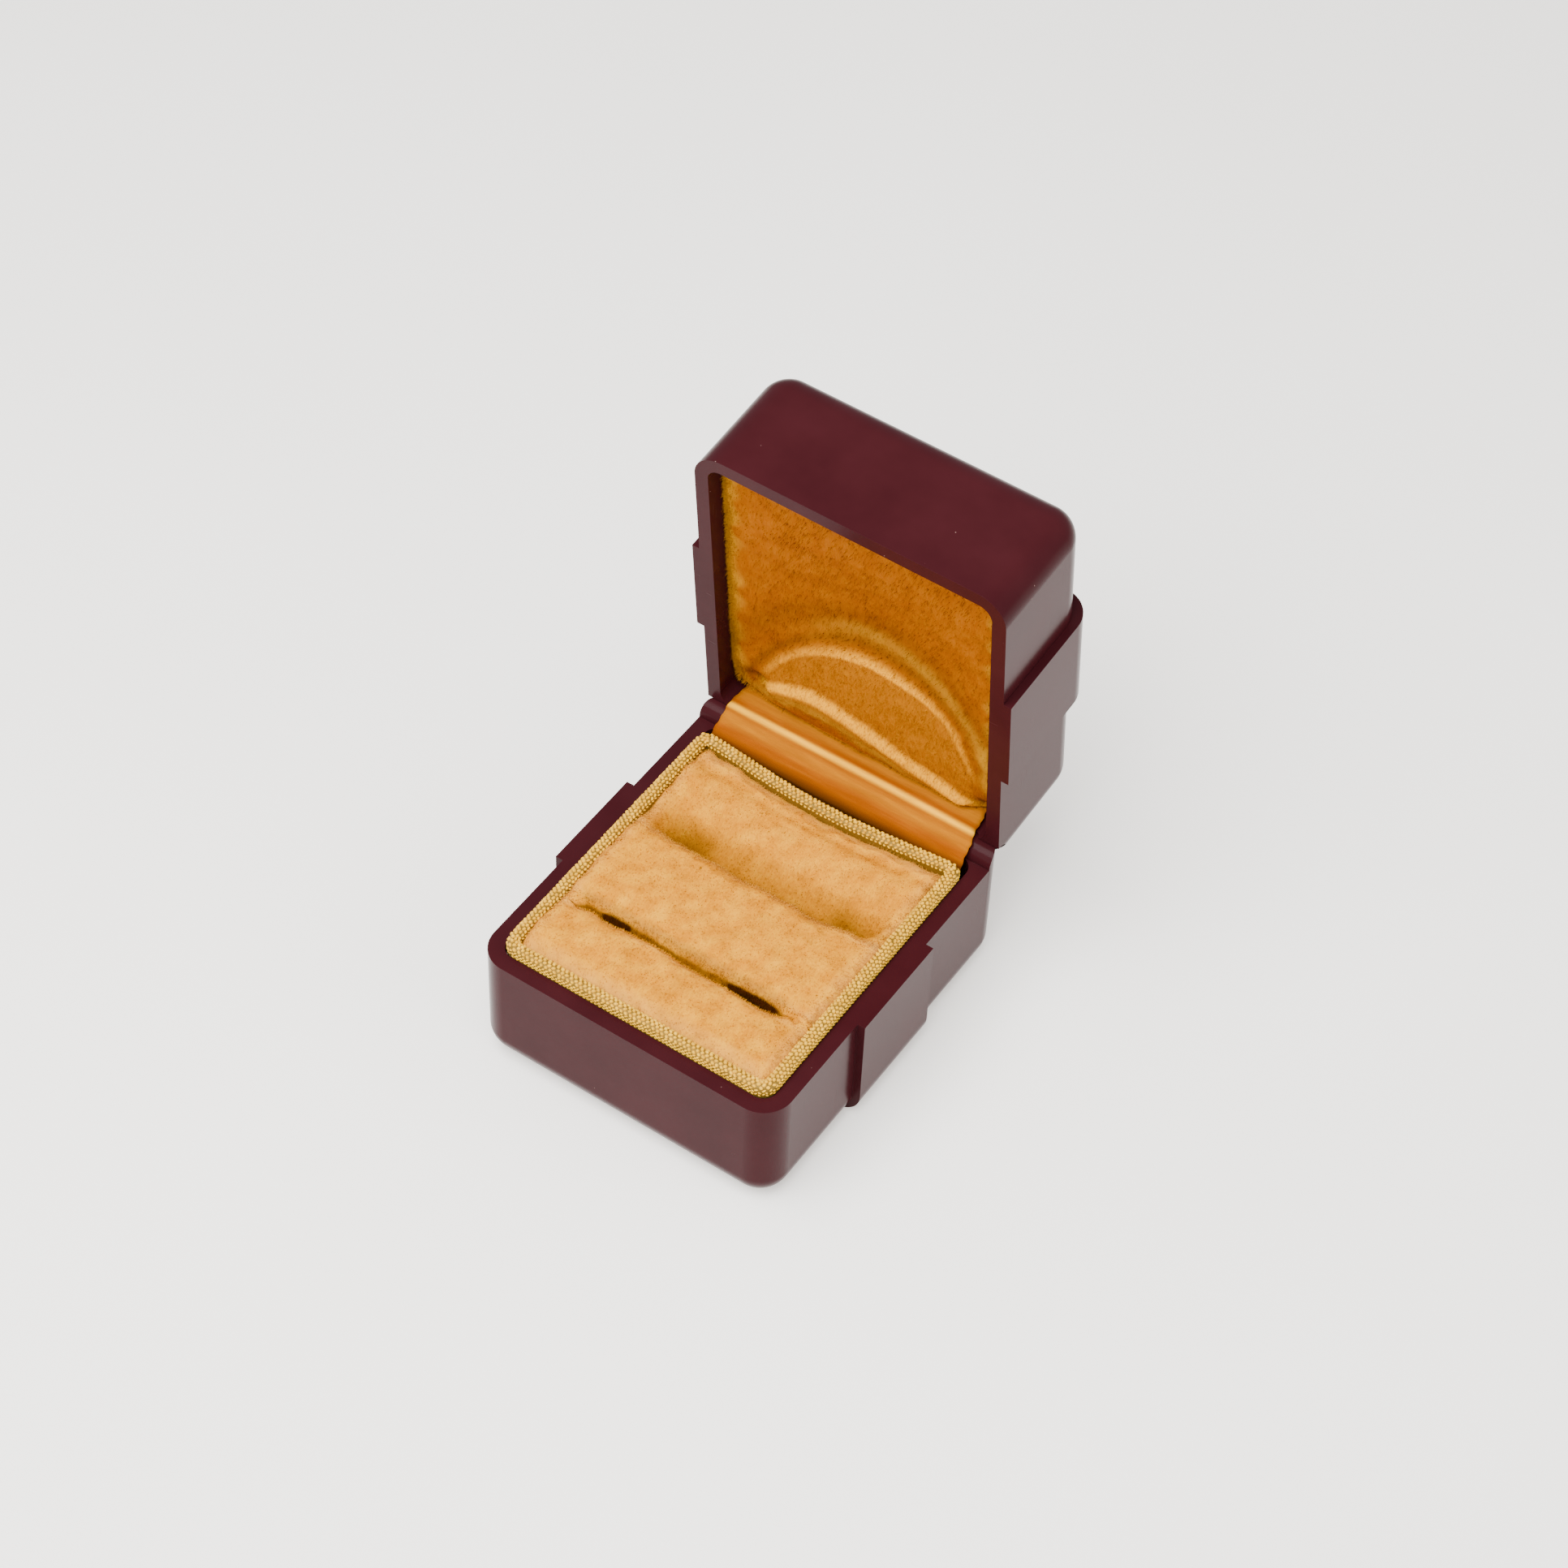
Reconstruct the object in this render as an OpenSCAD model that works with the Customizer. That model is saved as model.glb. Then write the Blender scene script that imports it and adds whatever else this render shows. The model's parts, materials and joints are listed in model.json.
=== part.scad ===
// Hinged ring box: a two-part moulded case with a snap-spring hinge, a velvet ring
// pad with two ring slots, a velvet lid pad and a satin strip over the hinge.
// +X is to the right along the front edge, +Y to the hinge side, +Z up.
// The origin is the middle of the flat underside. The lid is drawn open.

/* [Case] */
// Width of the case across the front
body_w = 45; // [42:0.5:48]
// Depth of the case from front to hinge side
body_d = 53; // [50:0.5:56]
// Height of the base to its rim
base_h = 18.5; // [17:0.5:20]
// Height of the lid from its rim to its top
lid_h = 18.6; // [17:0.1:20]
// Wall thickness of the base
base_wall = 2.2; // [1.8:0.1:2.6]
// Wall thickness of the lid
lid_wall = 2; // [1.8:0.1:2.4]
// Radius of the upright corners and of the bottom and top edges
corner_r = 4.2; // [3.8:0.1:4.6]
// Gap between the two rims when shut
rim_gap = 0.2; // [0.15:0.05:0.4]

/* [Raised Band] */
// How far the band stands out of the side walls
band_out = 1.08; // [0.8:0.02:1.4]
// How far the lid's band stands above its top
band_up = 0.95; // [0.6:0.05:1.2]
// Front face of the band
band_front = -7.9; // [-10:0.1:-6]
// Rear face of the band
band_rear = 7.6; // [6:0.1:10]

/* [Hinge] */
// Opening angle at which the lid rests on its stop
open_angle = 84.5; // [80:0.5:90]
// Radius of the round bead along the top of the rear wall
bead_r = 2.1; // [1.9:0.05:2.3]
// Play between the bead and the lid's groove
bead_play = 0.2; // [0.15:0.05:0.3]
// Thickness of the snap spring's steel
spring_t = 0.25; // [0.2:0.05:0.3]
// Width of the snap spring
spring_w = 9; // [6:0.5:12]

/* [Lining] */
// Height of the woven braid above the base rim
braid_up = 1.7; // [1.2:0.1:2]
// Width of the braid
braid_w = 2; // [1.6:0.1:2.4]
// Thickness of the card inside the pads
card_t = 0.8; // [0.6:0.1:1]
// Thickness of the velvet
velvet_t = 0.7; // [0.5:0.1:0.9]
// Depth of the lid pad's face below the lid rim
lid_pad_deep = 2; // [1.9:0.1:3]
// Width of the satin hinge strip
strip_w = 38.6; // [36:0.2:39]
// Thickness of the satin hinge strip
strip_t = 0.2; // [0.15:0.05:0.2]

/* [Hidden] */
$fn = 64;
plastic = "#5c2228";
steel = "#b9bcc0";
satin = "#d98a10";
card = "#c9b79a";
wadding = "#f2efe6";
peach_velvet = "#e8a850";
gold_velvet = "#d08a18";
gold_braid = "#d9b45a";

half_w = body_w / 2;
half_d = body_d / 2;
// Overlap of joined bodies, reach of a cut beyond the body it cuts, and gap between lining parts
eps = 0.01;
over = 1;
fit = 0.1;

hinge_y = half_d - bead_r;
hinge_z = base_h + rim_gap / 2;
groove_r = bead_r + bead_play;
lid_rim_z = base_h + rim_gap;
lid_top_z = lid_rim_z + lid_h;
floor_t = 2;
rear_wall = 2 * bead_r;
inner_corner_r = corner_r - base_wall;
case_in_x = half_w - base_wall;
case_in_front = -half_d + base_wall;
case_in_rear = half_d - rear_wall;
lid_in_x = half_w - lid_wall;
lid_in_front = -half_d + lid_wall;

// The ring pad sits against the front and side walls, with a gap for the strip behind it
pad_gap = 0.15;
braid_down = 1.2;
braid_in_corner_r = 1.3;
roll_up = 1.5;
roll_r = 3.2;
pad_x = case_in_x - pad_gap;
pad_front = case_in_front + pad_gap;
pad_rear = 19.9;
pad_in_x = pad_x - braid_w;
pad_in_front = pad_front + braid_w;
pad_in_rear = pad_rear - braid_w;
braid_base_z = base_h - braid_down;
braid_top_z = base_h + braid_up;
roll_top_z = base_h + roll_up;
roll_foot_z = floor_t + card_t + fit;
roll_x = pad_in_x - fit - velvet_t;
slot_floor_z = roll_foot_z + velvet_t;
front_slot_y = -11.9;
front_slot_w = 1.4;
rear_slot_y = 5.6;
rear_slot_w = 4.6;
slot_half_len = 16;

// The lid's rear wall swings round the bead down to its stop on the base's rear wall
swing_play = 0.1;
swing_under_a = 60;
swing_rise = 0.6;
swing_h = 6;

// The snap spring bends over the bead and hooks into a pocket in each rear wall
thin_fit = 0.05;
spring_r = groove_r + thin_fit;
spring_leg = 7.5;
hook_len = 1.2;
pocket_play = 0.15;

// The satin strip leaves the gap behind the pad, rides over the spring and lies in the lid
strip_foot_gap = 0.35;
strip_foot_drop = 8;
strip_r = spring_r + spring_t + thin_fit;
strip_foot_y = pad_rear + strip_foot_gap;
strip_foot_z = hinge_z - strip_foot_drop;
strip_slope_a = 135;
strip_lid_len = 6;

// The lid pad fills the lid to a little below its rim and is hollowed for the ring's head
lid_pad_play = 0.25;
lid_pad_x = lid_in_x - lid_pad_play;
lid_pad_front = lid_in_front + lid_pad_play;
lid_pad_rear = hinge_y - strip_r - strip_t - fit;
lid_pad_corner = 2.2;
lid_pad_face_z = lid_rim_z + lid_pad_deep;
lid_card_top_z = lid_top_z - lid_wall - fit;
hollow_deep = 4.6;
hollow_half = 14;
hollow_y = -9.3;
hollow_r = (hollow_half * hollow_half + hollow_deep * hollow_deep) / (2 * hollow_deep);

// Turns a part of the shut lid to the open position about the hinge line
module opened() {
    translate([0, hinge_y, hinge_z])
        rotate([-open_angle, 0, 0])
            translate([0, -hinge_y, -hinge_z])
                children();
}

// Cylinder lying along X, centred on x = 0
module rod_x(r, length) {
    rotate([0, 90, 0])
        cylinder(r = r, h = length, center = true);
}

// Cylinder lying along Y, centred on y = 0
module rod_y(r, length) {
    rotate([90, 0, 0])
        cylinder(r = r, h = length, center = true);
}

// Upright box with four round corners, from z0 to z1
module upright_box(x, y0, y1, z0, z1, r) {
    for (sx = [-1, 1], y = [y0 + r, y1 - r])
        translate([sx * (x - r), y, z0])
            cylinder(r = r, h = z1 - z0);
    translate([-x + r, y0, z0])
        cube([2 * x - 2 * r, y1 - y0, z1 - z0]);
    translate([-x, y0 + r, z0])
        cube([2 * x, y1 - y0 - 2 * r, z1 - z0]);
}

// Box with round upright corners and a round edge all round its underside at z = 0
module tub(x, y0, y1, h, r) {
    upright_box(x, y0, y1, r, h, r);
    for (sx = [-1, 1], y = [y0 + r, y1 - r])
        translate([sx * (x - r), y, r])
            sphere(r = r);
    for (y = [y0 + r, y1 - r])
        translate([0, y, r])
            rod_x(r, 2 * x - 2 * r);
    for (sx = [-1, 1])
        translate([sx * (x - r), (y0 + y1) / 2, r])
            rod_y(r, y1 - y0 - 2 * r);
    translate([-x + r, y0 + r, 0])
        cube([2 * x - 2 * r, y1 - y0 - 2 * r, r + eps]);
}

// Straight-ended length of the case's cross-section, wider than the body: the raised band
module band(x, h, r) {
    band_len = band_rear - band_front;
    translate([0, (band_front + band_rear) / 2, 0]) {
        for (sx = [-1, 1])
            translate([sx * (x - r), 0, r])
                rod_y(r, band_len);
        translate([-x + r, -band_len / 2, 0])
            cube([2 * x - 2 * r, band_len, r + eps]);
        translate([-x, -band_len / 2, r])
            cube([2 * x, band_len, h - r]);
    }
}

// Room that the lid's rear wall needs as it swings down behind the base to its stop
module lid_swing_room() {
    swing_r = groove_r + swing_play;
    cut_w = body_w + 2 * over;
    intersection() {
        translate([0, hinge_y, hinge_z])
            rod_x(swing_r, cut_w);
        translate([-cut_w / 2, hinge_y, hinge_z - groove_r * sin(swing_under_a)])
            cube([cut_w, swing_r + over, 2 * swing_r]);
    }
    opened()
        translate([-cut_w / 2, hinge_y - over, hinge_z + swing_rise])
            cube([cut_w, bead_r + over + swing_play, swing_h]);
}

// Pocket that one hook of the snap spring sits in, in the shut position's coordinates
module spring_pocket(z) {
    translate([-spring_w / 2 - pocket_play, case_in_rear - over, z - pocket_play])
        cube([spring_w + 2 * pocket_play, over + hook_len, spring_t + 2 * pocket_play]);
}

module base_shell() {
    color(plastic)
        union() {
            difference() {
                union() {
                    tub(half_w, -half_d, half_d, base_h, corner_r);
                    band(half_w + band_out, base_h, corner_r);
                }
                upright_box(case_in_x, case_in_front, case_in_rear, floor_t, base_h + over, inner_corner_r);
                lid_swing_room();
                spring_pocket(hinge_z - spring_leg);
            }
            intersection() {
                translate([0, hinge_y, hinge_z])
                    rod_x(bead_r, body_w);
                upright_box(half_w, -half_d, half_d, hinge_z - bead_r, hinge_z + bead_r, corner_r);
            }
        }
}

module lid_shell_shut() {
    difference() {
        translate([0, 0, lid_top_z])
            mirror([0, 0, 1])
                union() {
                    tub(half_w, -half_d, half_d, lid_h, corner_r);
                    translate([0, 0, -band_up])
                        band(half_w + band_out, lid_h + band_up, corner_r);
                }
        upright_box(
            lid_in_x, lid_in_front, case_in_rear,
            lid_rim_z - over, lid_top_z - lid_wall, inner_corner_r
        );
        translate([0, hinge_y, hinge_z])
            rod_x(groove_r, body_w + 2 * over);
        spring_pocket(hinge_z + spring_leg - spring_t);
    }
}

module lid_shell() {
    color(plastic)
        opened()
            lid_shell_shut();
}

// Point [y, z] at angle a and radius r about the hinge line
function about_hinge(a, r) = [hinge_y + r * cos(a), hinge_z + r * sin(a)];

// The same arc, from angle a0 to where the open lid's rear wall begins, then along that wall
function over_bead(a0, r, lid_len) = concat(
    [for (i = [0:12]) about_hinge(a0 + (180 - open_angle - a0) * i / 12, r)],
    [about_hinge(180 - open_angle, r) + lid_len * [sin(open_angle), cos(open_angle)]]
);

function reversed(list) = [for (i = [len(list) - 1:-1:0]) list[i]];

// Flat strip bent over the bead: its section is bounded by an outer and an inner line
module bent_strip(width, outer, inner) {
    rotate([90, 0, 90])
        translate([0, 0, -width / 2])
            linear_extrude(height = width)
                polygon(concat(outer, reversed(inner)));
}

// Flat steel snap spring: a leg on the base's rear wall, a bend over the bead and a leg
// along the lid's rear wall, each leg hooked into its wall
module snap_spring() {
    outer_r = spring_r + spring_t;
    foot_z = hinge_z - spring_leg;
    color(steel)
        union() {
            bent_strip(
                spring_w,
                concat([[hinge_y - outer_r, foot_z]], over_bead(180, outer_r, spring_leg)),
                concat([[hinge_y - spring_r, foot_z]], over_bead(180, spring_r, spring_leg))
            );
            translate([-spring_w / 2, hinge_y - outer_r, foot_z])
                cube([spring_w, outer_r - bead_r + hook_len - fit, spring_t]);
            opened()
                translate([-spring_w / 2, hinge_y - outer_r, hinge_z + spring_leg - spring_t])
                    cube([spring_w, outer_r - bead_r + hook_len - fit, spring_t]);
        }
}

// Line of one face of the satin strip, at radius r from the hinge line and at foot_y
// behind the pad: up from its foot, up the slope to the bead, over it and into the lid
function strip_line(r, foot_y) =
    let (top = about_hinge(strip_slope_a, r))
        concat(
            [
                [foot_y, strip_foot_z],
                [foot_y, top[1] - (top[0] - foot_y)]
            ],
            over_bead(strip_slope_a, r, strip_lid_len)
        );

module hinge_strip() {
    color(satin)
        bent_strip(
            strip_w,
            strip_line(strip_r + strip_t, strip_foot_y - strip_t),
            strip_line(strip_r, strip_foot_y)
        );
}

module pad_base_card() {
    color(card)
        upright_box(pad_x, pad_front, pad_rear - strip_t, floor_t, floor_t + card_t, inner_corner_r);
}

module pad_wall_card() {
    color(card)
        difference() {
            upright_box(
                pad_x, pad_front, pad_rear,
                floor_t + card_t, braid_base_z, inner_corner_r
            );
            translate([-pad_x + card_t, pad_front + card_t, 0])
                cube([2 * pad_x - 2 * card_t, pad_rear - pad_front - 2 * card_t, base_h]);
        }
}

// Wadding roll between y0 and y1 with a round top
module roll(y0, y1) {
    round_z = roll_top_z - velvet_t - roll_r;
    color(wadding)
        union() {
            translate([-roll_x, y0, roll_foot_z])
                cube([2 * roll_x, y1 - y0, round_z - roll_foot_z]);
            for (y = [y0 + roll_r, y1 - roll_r])
                translate([0, y, round_z])
                    rod_x(roll_r, 2 * roll_x);
            translate([-roll_x, y0 + roll_r, round_z - eps])
                cube([2 * roll_x, y1 - y0 - 2 * roll_r, roll_r + eps]);
        }
}

// Front and rear faces of each wadding roll, with the velvet and the slots between them
front_roll_y = [pad_in_front + fit + velvet_t, front_slot_y - front_slot_w / 2 - velvet_t];
middle_roll_y = [
    front_slot_y + front_slot_w / 2 + velvet_t,
    rear_slot_y - rear_slot_w / 2 - velvet_t
];
rear_roll_y = [rear_slot_y + rear_slot_w / 2 + velvet_t, pad_in_rear - fit - velvet_t];

module front_roll() {
    roll(front_roll_y[0], front_roll_y[1]);
}

module middle_roll() {
    roll(middle_roll_y[0], middle_roll_y[1]);
}

module rear_roll() {
    roll(rear_roll_y[0], rear_roll_y[1]);
}

// Velvet over the three rolls, tucked down between them to make the two ring slots
module ring_pad_velvet() {
    color(peach_velvet)
        difference() {
            upright_box(
                pad_in_x - fit, pad_in_front + fit, pad_in_rear - fit,
                roll_foot_z, roll_top_z, braid_in_corner_r - fit
            );
            for (s = [[front_slot_y, front_slot_w], [rear_slot_y, rear_slot_w]])
                translate([-slot_half_len, s[0] - s[1] / 2, slot_floor_z])
                    cube([2 * slot_half_len, s[1], roll_top_z]);
            for (span = [front_roll_y, middle_roll_y, rear_roll_y])
                roll(span[0], span[1]);
        }
}

// Woven gold braid round the top edge of the ring pad
module braid_trim() {
    color(gold_braid)
        difference() {
            upright_box(pad_x, pad_front, pad_rear, braid_base_z, braid_top_z, inner_corner_r);
            upright_box(
                pad_in_x, pad_in_front, pad_in_rear,
                braid_base_z - over, braid_top_z + over, braid_in_corner_r
            );
        }
}

module lid_pad_card() {
    color(card)
        opened()
            upright_box(
                lid_pad_x, lid_pad_front, lid_pad_rear,
                lid_card_top_z - card_t, lid_card_top_z, lid_pad_corner
            );
}

// Round hollow in the lid pad, where the head of the ring goes
module lid_hollow(extra) {
    translate([0, hollow_y, lid_pad_face_z + hollow_deep - hollow_r + extra])
        sphere(r = hollow_r, $fn = 96);
}

module lid_pad_wadding() {
    inset = velvet_t + thin_fit;
    color(wadding)
        opened()
            difference() {
                upright_box(
                    lid_pad_x - inset, lid_pad_front + inset, lid_pad_rear - inset,
                    lid_pad_face_z + inset, lid_card_top_z - card_t - thin_fit, lid_pad_corner - inset
                );
                lid_hollow(inset);
            }
}

module lid_pad_velvet() {
    inset = velvet_t;
    color(gold_velvet)
        opened()
            difference() {
                upright_box(
                    lid_pad_x, lid_pad_front, lid_pad_rear,
                    lid_pad_face_z, lid_card_top_z - card_t, lid_pad_corner
                );
                lid_hollow(0);
                difference() {
                    upright_box(
                        lid_pad_x - inset, lid_pad_front + inset, lid_pad_rear - inset,
                        lid_pad_face_z + inset, lid_card_top_z, lid_pad_corner - inset
                    );
                    lid_hollow(inset);
                }
            }
}

base_shell();
lid_shell();
snap_spring();
hinge_strip();
pad_base_card();
pad_wall_card();
front_roll();
middle_roll();
rear_roll();
ring_pad_velvet();
braid_trim();
lid_pad_card();
lid_pad_wadding();
lid_pad_velvet();
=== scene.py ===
"""A ring box standing open: a maroon moulded case, a velvet ring pad edged with a gold
gimp braid, a satin strip over the sprung hinge and a plush pad in the lid."""

import json
import math

import bmesh
import bpy
import numpy as np
from mathutils import Matrix, Vector


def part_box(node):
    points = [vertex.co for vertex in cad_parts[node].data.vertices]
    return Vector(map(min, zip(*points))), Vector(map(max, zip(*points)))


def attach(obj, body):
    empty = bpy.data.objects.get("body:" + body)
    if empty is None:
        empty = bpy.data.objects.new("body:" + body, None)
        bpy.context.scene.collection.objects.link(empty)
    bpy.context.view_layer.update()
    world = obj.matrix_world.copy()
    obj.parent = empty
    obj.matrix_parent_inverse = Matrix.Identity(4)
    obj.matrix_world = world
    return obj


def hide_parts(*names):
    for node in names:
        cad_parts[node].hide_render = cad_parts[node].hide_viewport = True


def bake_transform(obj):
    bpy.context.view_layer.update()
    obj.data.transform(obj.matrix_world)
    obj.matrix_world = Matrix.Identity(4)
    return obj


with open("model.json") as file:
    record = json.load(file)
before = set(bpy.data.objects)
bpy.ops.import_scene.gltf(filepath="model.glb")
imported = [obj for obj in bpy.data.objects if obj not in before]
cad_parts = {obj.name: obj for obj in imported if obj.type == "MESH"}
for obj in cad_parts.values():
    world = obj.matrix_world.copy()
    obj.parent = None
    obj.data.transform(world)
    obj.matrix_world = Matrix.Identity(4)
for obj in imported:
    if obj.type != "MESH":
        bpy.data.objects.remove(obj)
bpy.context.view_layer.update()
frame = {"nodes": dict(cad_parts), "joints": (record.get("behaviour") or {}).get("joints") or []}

MM = 0.001
HINGE = np.array(frame["joints"][0]["pos_m"]) / MM
OPEN_ANGLE = math.radians(frame["joints"][0]["range_deg"][1])
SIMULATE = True


def mm_box(node):
    """A CAD node's lowest and highest corners in millimetres."""
    low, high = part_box(node)
    return np.array(low) / MM, np.array(high) / MM


# ---------------------------------------------------------------- shape helpers


def ease(start, end, t):
    """0 before start and 1 after end, joined by the cubic 3s^2 - 2s^3."""
    s = np.clip((t - start) / (end - start), 0, 1)
    return s * s * (3 - 2 * s)


def hump(t, middle, reach):
    """A raised cosine: 1 at the middle, 0 at reach on both sides."""
    return 0.5 + 0.5 * np.cos(np.pi * np.clip((t - middle) / reach, -1, 1))


def quarter_round(t, start, reach):
    """How far a quarter ellipse has dropped, from 0 at start to 1 at start + reach."""
    s = np.clip((t - start) / reach, 0, 1)
    return 1 - np.sqrt(np.clip(1 - s * s, 0, 1))


def ripples(x, y, wavelength, seed, waves=14):
    """Gentle unevenness of about -1 to 1: a sum of sines in random directions, whose
    wavelengths lie between 0.7 and 1.6 times the one given."""
    rng = np.random.default_rng(seed)
    total = np.zeros(np.broadcast(x, y).shape)
    for _ in range(waves):
        turn = rng.uniform(0, math.tau)
        rate = math.tau / (wavelength * rng.uniform(0.7, 1.6))
        phase = rng.uniform(0, math.tau)
        total += np.sin(rate * (x * math.cos(turn) + y * math.sin(turn)) + phase)
    return total / math.sqrt(waves)


def run(path):
    """How far each point of a path lies along it, from 0."""
    return np.concatenate([[0], np.cumsum(np.linalg.norm(np.diff(path, axis=0), axis=1))])


def even_curve(points, count):
    """A smooth open curve through the points (Catmull-Rom), sampled at equal lengths."""
    p = np.asarray(points, float)
    p = np.vstack([2 * p[0] - p[1], p, 2 * p[-1] - p[-2]])
    steps = 24
    t = np.linspace(0, 1, steps, endpoint=False)[:, None]
    a, b, c, d = p[:-3, None], p[1:-2, None], p[2:-1, None], p[3:, None]
    curve = 2 * b + (c - a) * t + (2 * a - 5 * b + 4 * c - d) * t**2 + (3 * b - a - 3 * c + d) * t**3
    curve = np.vstack([0.5 * curve.reshape(-1, p.shape[1]), p[-2]])
    along = run(curve)
    at = np.linspace(0, along[-1], count)
    return np.stack([np.interp(at, along, curve[:, k]) for k in range(p.shape[1])], axis=1)


def quads(rows, columns, wrap_rows=False, wrap_columns=False):
    """The four corners of each face of a rows x columns grid of points, which faces the
    way of columns x rows."""
    row = np.arange(rows if wrap_rows else rows - 1)
    column = np.arange(columns if wrap_columns else columns - 1)
    r0, c0 = np.meshgrid(row, column, indexing="ij")
    r1, c1 = (r0 + 1) % rows, (c0 + 1) % columns
    corners = [r0 * columns + c0, r0 * columns + c1, r1 * columns + c1, r1 * columns + c0]
    return np.stack(corners, axis=-1).reshape(-1, 4)


def make(name, points, faces, material, attributes=None):
    """A smooth-shaded mesh object from points in millimetres and faces of point numbers,
    with a number of each attribute stored at each point."""
    mesh = bpy.data.meshes.new(name)
    mesh.from_pydata((np.asarray(points).reshape(-1, 3) * MM).tolist(), [], [list(f) for f in faces])
    mesh.polygons.foreach_set("use_smooth", np.ones(len(mesh.polygons), bool))
    for key, values in (attributes or {}).items():
        mesh.attributes.new(key, "FLOAT", "POINT").data.foreach_set("value", np.ravel(values))
    mesh.materials.append(material)
    piece = bpy.data.objects.new(name, mesh)
    bpy.context.scene.collection.objects.link(piece)
    return piece


def points_of(piece):
    """A piece's points in millimetres, one row each."""
    points = np.empty(len(piece.data.vertices) * 3)
    piece.data.vertices.foreach_get("co", points)
    return points.reshape(-1, 3) / MM


def opened(points):
    """Points of the shut lid turned about the hinge to where they are at rest, open."""
    x, y, z = np.moveaxis(points, -1, 0)
    y, z = y - HINGE[1], z - HINGE[2]
    cos, sin = math.cos(OPEN_ANGLE), math.sin(OPEN_ANGLE)
    return np.stack([x, HINGE[1] + y * cos + z * sin, HINGE[2] - y * sin + z * cos], axis=-1)


# ---------------------------------------------------------------- materials


SURFACE = "Principled BSDF"


def linear(hex_colour):
    """An sRGB hex colour as linear RGBA."""
    srgb = [int(hex_colour[i:i + 2], 16) / 255 for i in (1, 3, 5)]
    return [c / 12.92 if c <= 0.04045 else ((c + 0.055) / 1.055) ** 2.4 for c in srgb] + [1.0]


def add(tree, kind, inputs, stops=(), output=0, **settings):
    """Adds a shader node with its settings and links and gives one of its sockets. Each
    input is a value or the socket to link, and stops are the places and hex colours of a
    colour ramp. SURFACE is the shader that the tree starts with, so it isn't added."""
    node = tree.nodes[kind] if kind == SURFACE else tree.nodes.new("ShaderNode" + kind)
    for key, value in settings.items():
        setattr(node, key, value)
    for key, value in inputs.items():
        if isinstance(value, bpy.types.NodeSocket):
            tree.links.new(value, node.inputs[key])
        else:
            node.inputs[key].default_value = value
    for number, (at, colour) in enumerate(stops):
        elements = node.color_ramp.elements
        element = elements[number] if number < len(elements) else elements.new(at)
        element.position = at
        element.color = linear(colour)
    return node.outputs[output]


def blank(name):
    """A new material, its tree and its Object coordinates in millimetres."""
    material = bpy.data.materials.new(name)
    material.use_nodes = True
    tree = material.node_tree
    place = add(tree, "TexCoord", {}, output="Object")
    return material, tree, add(tree, "VectorMath", {0: place, "Scale": 1 / MM}, operation="SCALE")


def moulded_polystyrene():
    """Maroon polystyrene, injection moulded in a polished tool: glossy, with a faint
    unevenness, grains of dust and fine handling scratches."""
    cloud_mm = 9.0
    patch_mm = 5.0
    swell_mm = 1.6
    material, tree, place = blank("moulded_maroon_polystyrene")
    cloud = add(tree, "TexNoise", {"Vector": place, "Scale": 1 / cloud_mm, "Detail": 3.0, "Roughness": 0.55})
    tone = add(tree, "ValToRGB", {"Fac": cloud}, [(0.3, "#2F0E12"), (0.7, "#351216")])
    # Grains of dust up to 0.15 mm across, most of them smaller, in a cube of 2.6 mm each.
    cube_mm = 2.6
    grain = add(tree, "TexVoronoi", {"Vector": place, "Scale": 1 / cube_mm}, output="Distance")
    patch = add(tree, "TexNoise", {"Vector": place, "Scale": 1 / patch_mm, "Detail": 1.0, "Roughness": 0.55})
    reach = add(tree, "Math", {0: patch, 1: 0.09, 2: -0.028}, operation="MULTIPLY_ADD")
    dust_and_sheen = add(tree, "Math", {0: grain, 1: reach}, operation="LESS_THAN")
    dust_and_sheen_tone = add(tree, "Math", {0: dust_and_sheen, 1: 0.55}, operation="MULTIPLY")
    tone = add(tree, "Mix", {0: dust_and_sheen_tone, 6: tone, 7: linear("#A08078")}, output=2, data_type="RGBA")
    # Scratches: long thin streaks of noise, 0.08 mm wide and some 6 mm long.
    stretch = {"Vector": place, "Rotation": (0.4, 0.7, 0.5), "Scale": (0.16, 12.0, 0.16)}
    drawn = add(tree, "Mapping", stretch)
    streak = add(tree, "TexNoise", {"Vector": drawn, "Scale": 1.0, "Detail": 2.0, "Roughness": 0.55})
    scratch = add(tree, "Math", {0: streak, 1: 0.73}, operation="GREATER_THAN")
    rough = add(tree, "Math", {0: cloud, 1: 0.08, 2: 0.16}, operation="MULTIPLY_ADD")
    rough = add(tree, "Math", {0: scratch, 1: 0.12, 2: rough}, operation="MULTIPLY_ADD")
    rough = add(tree, "Math", {0: dust_and_sheen, 1: 0.4, 2: rough}, operation="MULTIPLY_ADD")
    swell = add(tree, "TexNoise", {"Vector": place, "Scale": 1 / swell_mm, "Detail": 1.0, "Roughness": 0.55})
    uneven = add(tree, "Bump", {"Height": swell, "Distance": 0.004 * MM, "Strength": 1.0})
    add(tree, SURFACE, {"Base Color": tone, "Roughness": rough, "Normal": uneven})
    add(tree, SURFACE, {"IOR": 1.57, "Specular IOR Level": 0.035})
    return material


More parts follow.
